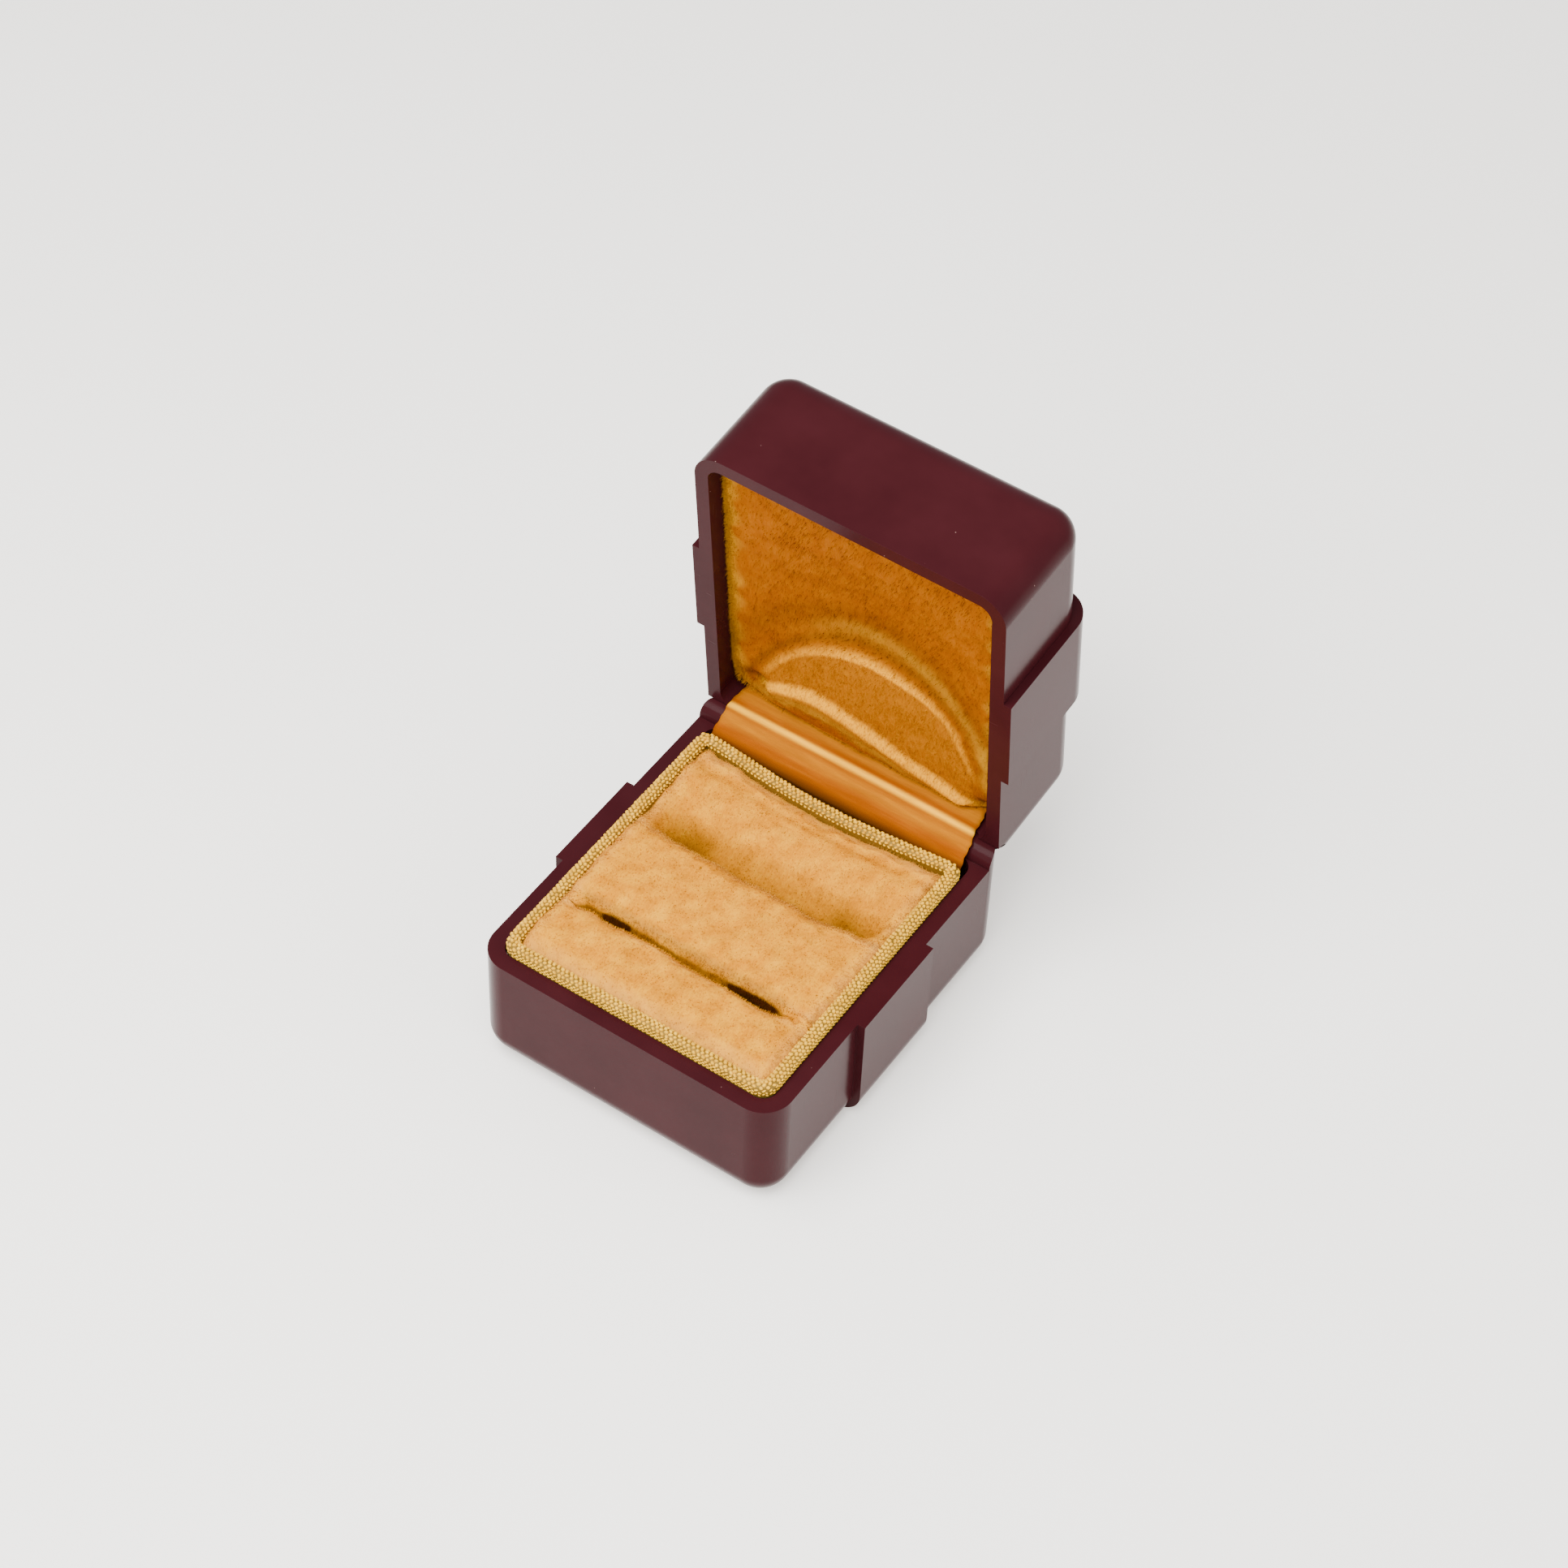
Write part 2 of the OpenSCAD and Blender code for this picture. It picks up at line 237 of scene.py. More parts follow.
def velvet_nap(name, shades, pale, dust_and_sheen_tone, shadow, tuft_mm, surface):
    """Velvet: a short dense pile whose colour drifts in soft patches. The mesh says where
    it is pale with dirt, and on the lid pad where it has painted sheen; where a painted
    highlight lies, broken into tufts; and where it has painted shade."""
    drift_mm = 2.6
    material, tree, place = blank(name)
    drift = add(tree, "TexNoise", {"Vector": place, "Scale": 1 / drift_mm, "Detail": 4.0, "Roughness": 0.62})
    # Single tufts of the pile, longer down the pile than across it.
    lying = add(tree, "Mapping", {"Vector": place, "Scale": (1.0, 0.45, 0.3)})
    fine = add(tree, "TexNoise", {"Vector": lying, "Scale": 1 / tuft_mm, "Detail": 3.0, "Roughness": 0.75})
    patches = add(tree, "Math", {0: drift, 1: 0.5}, operation="MULTIPLY")
    blotch = add(tree, "Math", {0: fine, 1: 0.5, 2: patches}, operation="MULTIPLY_ADD")
    tone = add(tree, "ValToRGB", {"Fac": blotch}, shades)
    # Dust, and on the lid pad painted sheen, mixed in from the mesh.
    dust_and_sheen = add(tree, "Attribute", {}, output="Fac", attribute_name="dust_and_sheen")
    patches = add(tree, "Math", {0: drift, 1: 0.45}, operation="ADD")
    wear_and_sheen = add(tree, "Math", {0: dust_and_sheen, 1: patches}, operation="MULTIPLY")
    wear_and_sheen = add(tree, "Math", {0: wear_and_sheen, 1: 0.9}, operation="MINIMUM")
    tone = add(tree, "Mix", {0: wear_and_sheen, 6: tone, 7: linear(dust_and_sheen_tone)}, output=2, data_type="RGBA")
    # Painted highlight: the mesh says where it lies, and the tufts break it up.
    painted_highlight = add(tree, "Attribute", {}, output="Fac", attribute_name="painted_highlight")
    tufts = add(tree, "Math", {0: fine, 1: 2.4, 2: -0.3}, operation="MULTIPLY_ADD")
    painted_highlight_share = add(tree, "Math", {0: painted_highlight, 1: tufts}, operation="MULTIPLY")
    painted_highlight_share = add(tree, "Math", {0: painted_highlight_share, 1: 1.0}, operation="MINIMUM")
    tone = add(tree, "Mix", {0: painted_highlight_share, 6: tone, 7: linear(pale)}, output=2, data_type="RGBA")
    # Painted shade: the mesh says where it lies.
    painted_shade = add(tree, "Attribute", {}, output="Fac", attribute_name="painted_shade")
    tone = add(tree, "Mix", {0: painted_shade, 6: tone, 7: linear(shadow)}, output=2, data_type="RGBA")
    # Specks of lint and dirt, one to a cube of 4 mm.
    cube_mm = 4.0
    lint = {"Vector": place, "Scale": 1 / cube_mm, "Randomness": 1.0}
    dot = add(tree, "TexVoronoi", lint, output="Distance")
    speck = add(tree, "Math", {0: dot, 1: 0.045}, operation="LESS_THAN")
    speck = add(tree, "Math", {0: speck, 1: 0.5}, operation="MULTIPLY")
    tone = add(tree, "Mix", {0: speck, 6: tone, 7: linear(shadow)}, output=2, data_type="RGBA")
    height = add(tree, "Math", {0: drift, 1: 0.8, 2: fine}, operation="MULTIPLY_ADD")
    raised = add(tree, "Bump", {"Height": height, "Distance": 0.14 * MM, "Strength": 1.0})
    add(tree, SURFACE, {"Base Color": tone, "Normal": raised} | surface)
    return material


def peach_velvet():
    """Peach cotton velvet, much used: matt, with pale scuffs on its edges."""
    shades = [(0.32, "#A66400"), (0.5, "#C67C00"), (0.66, "#D89208")]
    surface = {
        "Roughness": 0.9, "Specular IOR Level": 0.0, "Sheen Weight": 0.1, "Sheen Roughness": 0.4,
        "Sheen Tint": linear("#FFB400")}
    # After the shades come the colours of the painted highlight, of the dust and of the painted shade.
    return velvet_nap("worn_peach_cotton_velvet", shades, "#E09C18", "#D89E48", "#341602", 0.24, surface)


def gold_plush():
    """Gold rayon plush, long silky pile: its broad soft bands of shine are painted highlight and sheen."""
    shades = [(0.34, "#844200"), (0.5, "#8E4C00"), (0.66, "#9A5800")]
    surface = {
        "Roughness": 0.5, "Metallic": 0.1, "Specular IOR Level": 0.02, "Specular Tint": linear("#FFC020")}
    # After the shades come the colours of the painted highlight, of the painted sheen and of the painted
    # shade.
    return velvet_nap("gold_rayon_plush", shades, "#E29A04", "#AC7C14", "#241402", 0.22, surface)


def satin_weave():
    """Orange-gold acetate satin with smooth floats along the strip; the soft coloured
    highlight across a bend is painted highlight. Its threads are drawn 0.25 mm apart,
    coarser than real ones, so that they show."""
    thread_mm = 0.25
    drift_mm = 0.7
    material, tree, place = blank("orange_gold_acetate_satin")
    lying = add(tree, "Mapping", {"Vector": place, "Scale": (0.1, 1.0, 1.0)})
    drift = add(tree, "TexNoise", {"Vector": lying, "Scale": 1 / drift_mm, "Detail": 3.0, "Roughness": 0.6})
    tone = add(tree, "ValToRGB", {"Fac": drift}, [(0.3, "#864000"), (0.52, "#8E4600"), (0.72, "#985000")])
    # Painted highlight from the mesh, across the bend over the bead.
    painted_highlight = add(tree, "Attribute", {}, output="Fac", attribute_name="painted_highlight")
    patches = add(tree, "Math", {0: drift, 1: 0.4}, operation="ADD")
    painted_highlight_share = add(tree, "Math", {0: painted_highlight, 1: patches}, operation="MULTIPLY")
    painted_highlight_share = add(tree, "Math", {0: painted_highlight_share, 1: 1.0}, operation="MINIMUM")
    tone = add(tree, "Mix", {0: painted_highlight_share, 6: tone, 7: linear("#FFB814")}, output=2, data_type="RGBA")
    # Painted shade from the mesh.
    painted_shade = add(tree, "Attribute", {}, output="Fac", attribute_name="painted_shade")
    tone = add(tree, "Mix", {0: painted_shade, 6: tone, 7: linear("#3E2004")}, output=2, data_type="RGBA")
    uv = add(tree, "UVMap", {}, uv_map="weave")
    weave = {"Vector": uv, "Scale": 1 / (thread_mm * 2), "Distortion": 0.4, "Detail": 1.0}
    threads = add(tree, "TexWave", weave, output="Fac", bands_direction="X")
    height = add(tree, "Math", {0: drift, 1: 0.8, 2: threads}, operation="MULTIPLY_ADD")
    raised = add(tree, "Bump", {"Height": height, "Distance": 0.015 * MM, "Strength": 1.0})
    add(tree, SURFACE, {"Base Color": tone, "Normal": raised, "Roughness": 0.45, "Metallic": 0.0})
    add(tree, SURFACE, {"Specular IOR Level": 0.02, "Specular Tint": linear("#FFC020")})
    return material


def gimp_braid():
    """Gold rayon gimp: plump shiny stitches, dark between."""
    drift_mm = 1.2
    fibre_mm = 0.07
    material, tree, place = blank("gold_rayon_gimp")
    drift = add(tree, "TexNoise", {"Vector": place, "Scale": 1 / drift_mm, "Detail": 3.0, "Roughness": 0.55})
    tone = add(tree, "ValToRGB", {"Fac": drift}, [(0.3, "#C08C14"), (0.55, "#DCA61C"), (0.8, "#EEBC38")])
    core = add(tree, "Attribute", {}, output="Fac", attribute_name="core")
    tone = add(tree, "Mix", {0: core, 6: tone, 7: linear("#6A4E12")}, output=2, data_type="RGBA")
    fibre = add(tree, "TexNoise", {"Vector": place, "Scale": 1 / fibre_mm, "Detail": 2.0, "Roughness": 0.55})
    raised = add(tree, "Bump", {"Height": fibre, "Distance": 0.02 * MM, "Strength": 1.0})
    add(tree, SURFACE, {"Base Color": tone, "Normal": raised, "Roughness": 0.42, "Sheen Weight": 0.1})
    add(tree, SURFACE, {"Sheen Tint": linear("#FFE090"), "Specular Tint": linear("#FFE090")})
    return material


def cotton_wadding():
    """Bleached cotton wadding: matt matted fibres."""
    fibre_mm = 0.8
    material, tree, place = blank("bleached_cotton_wadding")
    lying = add(tree, "Mapping", {"Vector": place, "Scale": (1.0, 5.0, 2.0)})
    fibre = add(tree, "TexNoise", {"Vector": lying, "Scale": 1 / fibre_mm, "Detail": 6.0, "Roughness": 0.7})
    tone = add(tree, "ValToRGB", {"Fac": fibre}, [(0.3, "#CFC6B4"), (0.7, "#F2ECE0")])
    raised = add(tree, "Bump", {"Height": fibre, "Distance": 0.25 * MM, "Strength": 1.0})
    add(tree, SURFACE, {"Base Color": tone, "Normal": raised, "Roughness": 0.95, "Sheen Weight": 0.4})
    return material


def pulp_board():
    """Grey-brown pulp board, cut: matt, with short fibre flecks."""
    fleck_mm = 0.5
    material, tree, place = blank("pulp_board")
    lying = add(tree, "Mapping", {"Vector": place, "Scale": (0.5, 3.0, 3.0)})
    fleck = add(tree, "TexNoise", {"Vector": lying, "Scale": 1 / fleck_mm, "Detail": 5.0, "Roughness": 0.7})
    tone = add(tree, "ValToRGB", {"Fac": fleck}, [(0.35, "#8F7E64"), (0.65, "#B7A789")])
    raised = add(tree, "Bump", {"Height": fleck, "Distance": 0.05 * MM, "Strength": 1.0})
    add(tree, SURFACE, {"Base Color": tone, "Normal": raised, "Roughness": 0.9})
    return material


def spring_steel():
    """Cold-rolled spring steel, blued grey: fine rolling lines across the leaf."""
    material, tree, place = blank("rolled_spring_steel")
    lying = add(tree, "Mapping", {"Vector": place, "Scale": (12.0, 0.3, 0.3)})
    line = add(tree, "TexNoise", {"Vector": lying, "Scale": 1.0, "Detail": 3.0, "Roughness": 0.55})
    tone = add(tree, "ValToRGB", {"Fac": line}, [(0.3, "#8C9096"), (0.7, "#B9BDC2")])
    raised = add(tree, "Bump", {"Height": line, "Distance": 0.005 * MM, "Strength": 1.0})
    add(tree, SURFACE, {"Base Color": tone, "Normal": raised, "Metallic": 1.0, "Roughness": 0.3})
    add(tree, SURFACE, {"Anisotropic": 0.4})
    return material


PLASTIC = moulded_polystyrene()
PEACH = peach_velvet()
PLUSH = gold_plush()
SATIN = satin_weave()
GIMP = gimp_braid()
WADDING = cotton_wadding()
BOARD = pulp_board()
STEEL = spring_steel()


# ---------------------------------------------------------------- the moulded shells


def moulded_shell(node, body):
    """A shell with the small rounded edges of a moulding: a merged copy of the CAD
    node, its flat faces joined up, and every sharp edge bevelled."""
    edge_mm = 0.22
    mesh = frame["nodes"][node].data.copy()
    work = bmesh.new()
    work.from_mesh(mesh)
    bmesh.ops.remove_doubles(work, verts=work.verts, dist=1e-6)
    bmesh.ops.dissolve_limit(work, angle_limit=math.radians(0.5), verts=work.verts, edges=work.edges)
    work.to_mesh(mesh)
    work.free()
    mesh.materials.clear()
    mesh.materials.append(PLASTIC)
    piece = bpy.data.objects.new(node + "_moulding", mesh)
    bpy.context.scene.collection.objects.link(piece)
    mesh.polygons.foreach_set("use_smooth", np.ones(len(mesh.polygons), bool))
    bevel = piece.modifiers.new("rounded edges", "BEVEL")
    bevel.width = edge_mm * MM
    bevel.segments = 3
    bevel.limit_method = "ANGLE"
    bevel.angle_limit = math.radians(38)
    bevel.miter_outer = "MITER_ARC"
    # Large flat faces keep their own direction, so that they shade flat up to their edges.
    piece.modifiers.new("flat faces", "WEIGHTED_NORMAL").weight = 100
    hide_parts(node)
    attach(piece, body)


moulded_shell("base_shell", "base")
moulded_shell("lid_shell", "lid")


# ---------------------------------------------------------------- strips over the hinge


def strip(path, left, right, thickness, waves=0.0, seed=0):
    """A thin strip carried along a path in the y-z plane, from x = left to x = right: its
    two faces lie half the thickness to each side of the path, lifted by gentle waves,
    and its edges and ends are closed. Gives its points, row by row, and its faces."""
    columns_across = 61
    step = np.gradient(path, axis=0)
    step /= np.linalg.norm(step, axis=1, keepdims=True)
    normal = np.stack([-step[:, 1], step[:, 0]], axis=1)
    across = np.linspace(0, 1, columns_across)
    x = left[:, None] + (right - left)[:, None] * across
    lift = waves * (0.5 + 0.5 * ripples(x * 0.12, run(path)[:, None], 2.6, seed))
    sides = []
    for side in (1, -1):
        out = lift + side * thickness / 2
        y = path[:, 0, None] + normal[:, 0, None] * out
        z = path[:, 1, None] + normal[:, 1, None] * out
        sides.append(np.stack([x, y, z], axis=-1))
    top, under = sides
    loop = np.concatenate([top, under[:, ::-1]], axis=1)
    rows, columns = loop.shape[:2]
    ends = []
    for row, flip in ((0, 1), (rows - 1, -1)):
        first = row * columns + np.arange(columns_across - 1)
        last = row * columns + columns - 1 - np.arange(columns_across - 1)
        ends.append(np.stack([first, last, last - 1, first + 1], axis=-1)[:, ::flip])
    return loop, np.vstack([quads(rows, columns, wrap_columns=True)] + ends)


def lay_strip(name, path, left, right, thickness, material, waves=0.0, seed=0, attributes=None):
    """The strip as an object, with a UV map in millimetres, u across and v along; each
    attribute has one number for each point of the path."""
    loop, faces = strip(path, left, right, thickness, waves, seed)
    grid = loop.shape[:2]
    values = {key: np.broadcast_to(row[:, None], grid) for key, row in (attributes or {}).items()}
    piece = make(name, loop, faces, material, values)
    uv = piece.data.uv_layers.new(name="weave")
    corner = np.empty(len(piece.data.loops), int)
    piece.data.loops.foreach_get("vertex_index", corner)
    flat = np.stack([loop[..., 0], np.broadcast_to(run(path)[:, None], grid)], axis=-1).reshape(-1, 2)
    uv.data.foreach_set("uv", flat[corner].ravel())
    return piece


SHOULDER_ANGLE = math.radians(135)


def over_bead(radius, foot, lid_reach, count):
    """The path of a strip over the hinge bead, from its foot in the base to its end on
    the lid's rear wall: the foot's points, an arc round the hinge, a straight leg."""
    turn = np.linspace(SHOULDER_ANGLE, math.pi - OPEN_ANGLE, 9)
    arc = np.stack([HINGE[1] + radius * np.cos(turn), HINGE[2] + radius * np.sin(turn)], axis=1)
    away = np.array([math.sin(OPEN_ANGLE), math.cos(OPEN_ANGLE)])
    leg = arc[-1] + away * np.linspace(0, lid_reach, 5)[1:, None]
    return even_curve(np.vstack([foot, arc, leg]), count)


def satin_strip():
    """The satin strip that hides the hinge: it slopes up behind the rear braid, bends
    over the bead and runs under the lid pad. Its side edges wander by two small sine
    waves each, and it narrows on the right towards the lid."""
    low, high = mm_box("hinge_strip")
    radius = 2.62
    half_width = 19.3
    lid_reach = 5.6
    foot_y = low[1] + 0.25
    shoulder = HINGE[1:] + radius * np.array([math.cos(SHOULDER_ANGLE), math.sin(SHOULDER_ANGLE)])
    slope_foot = np.array([foot_y, shoulder[1] - (shoulder[0] - foot_y)])
    foot = [[foot_y, low[2]], [foot_y, low[2] + 4], slope_foot - [0.02, 0.5], slope_foot + 0.35]
    path = over_bead(radius, foot, lid_reach, 110)
    t = np.linspace(0, 1, len(path))
    left = -half_width + 0.2 * ease(0.55, 1, t) + 0.12 * np.sin(23 * t) + 0.05 * np.sin(71 * t)
    right = half_width - 1.1 * ease(0.5, 0.95, t) + 0.1 * np.sin(31 * t + 1) + 0.05 * np.sin(83 * t)
    along = run(path)
    # Painted shadow behind the braid and under the lid pad; painted highlight where it bends over the bead
    # and, fainter, along the lid.
    crest = 12.8
    painted_shade = 0.85 * (1 - ease(7.6, 9.4, along)) + 0.5 * ease(17.6, 18.6, along)
    painted_highlight = hump(along, crest, 0.8) + 0.15 * hump(along, crest - 1.7, 1.5)
    painted_highlight += 0.14 * ease(crest + 0.8, crest + 2, along)
    shade = {"painted_shade": painted_shade, "painted_highlight": painted_highlight}
    piece = lay_strip("satin_strip", path, left, right, 0.12, SATIN, 0.1, 5, shade)
    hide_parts("hinge_strip")
    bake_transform(piece)


def spring_leaf():
    """The snap spring: a bent steel leaf over the bead, hooked into both shells."""
    low, high = mm_box("snap_spring")
    radius = 2.35
    lid_reach = 7.2
    foot = [[low[1] + 0.125, low[2]], [low[1] + 0.125, HINGE[2] - 1], [low[1] + 0.2, HINGE[2] + 0.4]]
    path = over_bead(radius, foot, lid_reach, 60)
    half = np.full(len(path), high[0])
    piece = lay_strip("spring_leaf", path, -half, half, 0.22, STEEL)
    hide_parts("snap_spring")
    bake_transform(piece)


satin_strip()
spring_leaf()


# ---------------------------------------------------------------- padded pieces


def closed_pad(name, top, floor_z, material, attributes):
    """A pad whose upper face is the grid of points top; its border goes straight down to
    floor_z in five steps and is closed with a fan."""
    steps = 5
    rows, columns = top.shape[:2]
    number = np.arange(rows * columns).reshape(rows, columns)
    border = np.concatenate([number[0, :-1], number[:-1, -1], number[-1, :0:-1], number[:0:-1, 0]])
    points = top.reshape(-1, 3)
    rim = points[border]
    levels = np.linspace(0, 1, steps + 1)[1:, None, None]
    skirt = np.repeat(rim[None], len(levels), axis=0)
    skirt[..., 2] += (floor_z - rim[:, 2]) * levels[..., 0]
    middle = np.array([[0, rim[:, 1].mean(), floor_z]])
    everything = np.vstack([points, skirt.reshape(-1, 3), middle])
    around = len(border)
    first = len(points)
    ids = np.vstack([border, first + np.arange(len(levels) * around).reshape(-1, around)])
    here, beside = ids, np.roll(ids, -1, axis=1)
    walls = np.stack([here[:-1], here[1:], beside[1:], beside[:-1]], axis=-1).reshape(-1, 4)
    fan = np.stack([here[-1], np.full(around, len(everything) - 1), beside[-1]], axis=-1)
    faces = quads(rows, columns).tolist() + walls.tolist() + fan.tolist()
    extra = len(everything) - len(points)
    values = {k: np.concatenate([v.ravel(), np.zeros(extra)]) for k, v in attributes.items()}
    return make(name, everything, faces, material, values)


# The ring pad's section along its length, (y, z) from front to rear.
RING_PAD = [
    (-23.0, 17.4), (-22.6, 18.6), (-21.9, 19.35), (-20.4, 19.8), (-17.8, 20.05), (-15.2, 19.95),
    (-13.8, 19.7), (-13.1, 19.4), (-12.62, 18.9), (-12.53, 17.6), (-12.5, 12.0), (-12.47, 17.6),
    (-12.38, 18.5), (-11.95, 19.05), (-11.1, 19.5), (-9.7, 19.95), (-5.0, 20.25), (-0.8, 20.2),
    (1.2, 19.95), (2.5, 19.3), (3.2, 18.2), (3.7, 16.8), (4.6, 15.8), (6.0, 16.2), (8.2, 17.9),
    (10.4, 19.2), (12.4, 19.75), (14.6, 19.75), (16.6, 19.5), (17.8, 19.0), (18.5, 18.2), (18.9, 17.0)]
SLOT_Y = -12.5


def ring_pad():
    """The ring pad: velvet over three rolls, its section carried along x. The section
    goes down into a narrow slot and a wider valley; along x the slot gapes a little in
    places, both close at their ends, and the sides tuck under the braid. Gives the
    piece, and for each point of its face how long its strands of pile are, how many
    stand there and how it is shaded."""
    rows, columns = 360, 181
    section = even_curve(RING_PAD, rows)
    half = mm_box("ring_pad_velvet")[1][0] + 0.85
    y, z = (np.broadcast_to(part[:, None], (rows, columns)).copy() for part in section.T)
    x = np.broadcast_to(half * np.linspace(-1, 1, columns)[None], y.shape).copy()
    crown = 19.8
    sunk = np.clip(crown - z, 0, None)
    in_slot = hump(y, SLOT_Y, 2.6)
    in_valley = ease(1.2, 3.2, y) * (1 - ease(8.5, 12.5, y))
    slot_depth = ease(-17.4, -15.4, x) * (1 - ease(13.0, 15.6, x))
    valley_depth = 0.8 + 0.35 * hump(x, -11.5, 5) + 0.4 * hump(x, 12.8, 4)
    valley_depth = valley_depth - 0.65 * ease(14.5, 18, x) - 0.6 * ease(-14, -18, x)
    z += sunk * in_slot * (1 - slot_depth) * 0.93
    z += sunk * in_valley * (1 - valley_depth)
    # The slot gapes where the rolls part, and slot and valley wander.
    gape = 0.02 + 0.26 * hump(x, -11.0, 3.0) + 0.42 * hump(x, 9.6, 5.4) + 0.03 * ripples(x, 0 * x, 1.3, 5)
    y += np.sign(y - SLOT_Y) * gape * hump(y, SLOT_Y, 1.6) * slot_depth
    y += (0.1 * ripples(x, 0 * x, 12.0, 3) - 0.9 * ease(-14.5, -17.5, x)) * in_slot
    y += (0.3 * ripples(x, 0 * x, 13.0, 4) + 0.8 * ease(8, 16, x)) * ease(-2, 2.5, y) * (1 - ease(6, 9, y))
    # A soft furrow a little way in from the braid, then down under it.
    side = half - np.abs(x)
    z -= 0.25 * hump(side, 3.0, 1.8) + 1.9 * quarter_round(-side, -1.6, 1.6)
    z -= 0.35 * hump(y, 15.2, 1.6)
    z += 0.13 * ripples(x, y, 6.5, 11) * ease(15, 18, z) + 0.05 * ripples(x, y, 2.4, 12)
    y -= rear_sag(x) * ease(8, 18, y)
    top = np.stack([x, y, z], axis=-1)
    # Painted shade in the valley's pockets, on the slot's rear lip and inside the slot.
    pocket = 0.5 + 0.5 * hump(x, -12.0, 5.0) + 0.45 * hump(x, 12.0, 4.0) - 0.4 * ease(14.5, 18, np.abs(x))
    shade = pocket * (0.75 * hump(y, 5.4, 3.6) + 0.25 * hump(y, 3.4, 2.4))
    slot_lip = 0.3 * hump(y, -11.5, 1.4) * slot_depth
    lens = np.maximum(hump(x, -11.0, 2.8), hump(x, 9.6, 5.0))
    inside = ease(19.1, 18.6, z) * hump(y, SLOT_Y, 2.0) * (0.65 + 0.35 * ease(0, 0.3, lens))
    painted_shade = np.clip(shade + slot_lip + inside, 0, 1)
    # Dusty along the braid and on the crests.
    near_edge = np.clip(1.1 - np.minimum(side, np.minimum(y + 22.6, 17.4 - y)) / 2.2, 0, 1)
    near_crest = hump(y, 2.3, 1.3) * 0.8 + 0.6 * hump(y, -13.6, 0.9) + 0.5 * hump(y, -11.4, 0.9)
    dust_and_sheen = np.clip(0.6 * near_edge + 0.55 * near_crest, 0, 1) * ease(16.5, 19, z)
    # Painted sheen: pale patches on the upper faces.
    painted_highlight = np.clip((0.2 + 0.3 * ripples(x, y, 3.4, 41)) * ease(17, 19, z), 0, 1)
    colours = {"dust_and_sheen": dust_and_sheen, "painted_shade": painted_shade, "painted_highlight": painted_highlight}
    length = np.full(y.shape, 0.4)
    edges = 1 + 5 * hump(y, 2.2, 1.2) + 5 * hump(y, -13.2, 0.8) + 5 * hump(y, -11.8, 0.8)
    edges += 3 * hump(side, 1.0, 1.0)
    return closed_pad("ring_pad", top, 3.0, PEACH, colours), length, edges, colours


def rear_sag(x):
    """How far the rear braid bows inwards from a straight line: a cosine, to the power
    1.3, that is 1.35 mm in the middle and 0 at 19 mm to each side."""
    return 1.35 * np.cos(np.clip(x / 19, -1, 1) * math.pi / 2) ** 1.3


# Two lines across the lid pad, (x, y) in the shut lid: the arch along which the dish
# meets the ledge, and the ridge near the hinge.
LID_ARCH = [
    (-16.2, 17.4), (-14.6, 14.4), (-11.8, 10.3), (-7.5, 6.4), (-2.0, 3.9), (3.6, 3.6), (9.0, 4.9),
    (12.8, 7.4), (15.2, 11.4), (16.6, 15.8), (17.8, 20.3)]
LID_RIDGE = [
    (-22.0, 19.0), (-16.2, 17.4), (-13.0, 15.9), (-8.0, 14.5), (-4.0, 14.8), (0.5, 15.9), (5.9, 17.5),
    (11.9, 19.1), (15.7, 19.8), (17.8, 20.3), (22.0, 21.5)]
LID_MIDDLE_X = 0.8


def beyond(x, y, points):
    """How far each place in a plane lies from the smooth curve through the points: below
    zero to the left of the curve's way, above zero to its right and past its ends."""
    curve = even_curve(points, 150)
    ahead = np.gradient(curve, axis=0)
    ahead /= np.linalg.norm(ahead, axis=1, keepdims=True)
    gap_x, gap_y = x[..., None] - curve[:, 0], y[..., None] - curve[:, 1]
    nearest = np.argmin(gap_x**2 + gap_y**2, axis=-1)
    gap = np.stack([x, y], axis=-1) - curve[nearest]
    way = ahead[nearest]
    right = gap[..., 0] * way[..., 1] - gap[..., 1] * way[..., 0]
    past = (nearest == 0) | (nearest == len(curve) - 1)
    return np.where(past, np.hypot(gap[..., 0], gap[..., 1]), right)


def lid_lines(x, y):
    """For places in the shut lid: how far outside the arch of the ledge they lie, and how
    far past the ridge towards the hinge."""
    ridge = even_curve(LID_RIDGE, 200)
    return beyond(x, y, LID_ARCH), y - np.interp(x, ridge[:, 0], ridge[:, 1])


def pinch(x, y):
    """The tuck at the two spots where arch and ridge run together: a bell curve of the
    distance from each, 1 at the spot."""
    total = 0
    for spot_x, spot_y in (LID_ARCH[0], LID_ARCH[-1]):
        total = total + np.exp(-((x - spot_x)**2 + (y - spot_y)**2) / 1.6)
    return total


def lid_depth(x, y):
    """How deep the lid pad's face lies below the lid's rim, in the shut lid's x and y:
    a dish that deepens towards the hinge until it meets a ledge along an arch, then a
    plateau, a ridge that stands forward near the hinge, and a tuck at each end."""
    outside, past = lid_lines(x, y)
    dish = 2.3 + 3.2 * ease(-24, -1, y) * hump(x, 0, 20) ** 0.6
    plateau = 3.3 - 0.6 * ease(11, 17, np.abs(x - LID_MIDDLE_X))
    depth = plateau + (np.maximum(dish, plateau) - plateau) * ease(-0.3, 2.6, outside)
    depth -= 1.15 * ease(-0.6, 1.2, past) * ease(19.0, 13.0, np.abs(x - LID_MIDDLE_X))
    return depth + 0.9 * pinch(x, y)


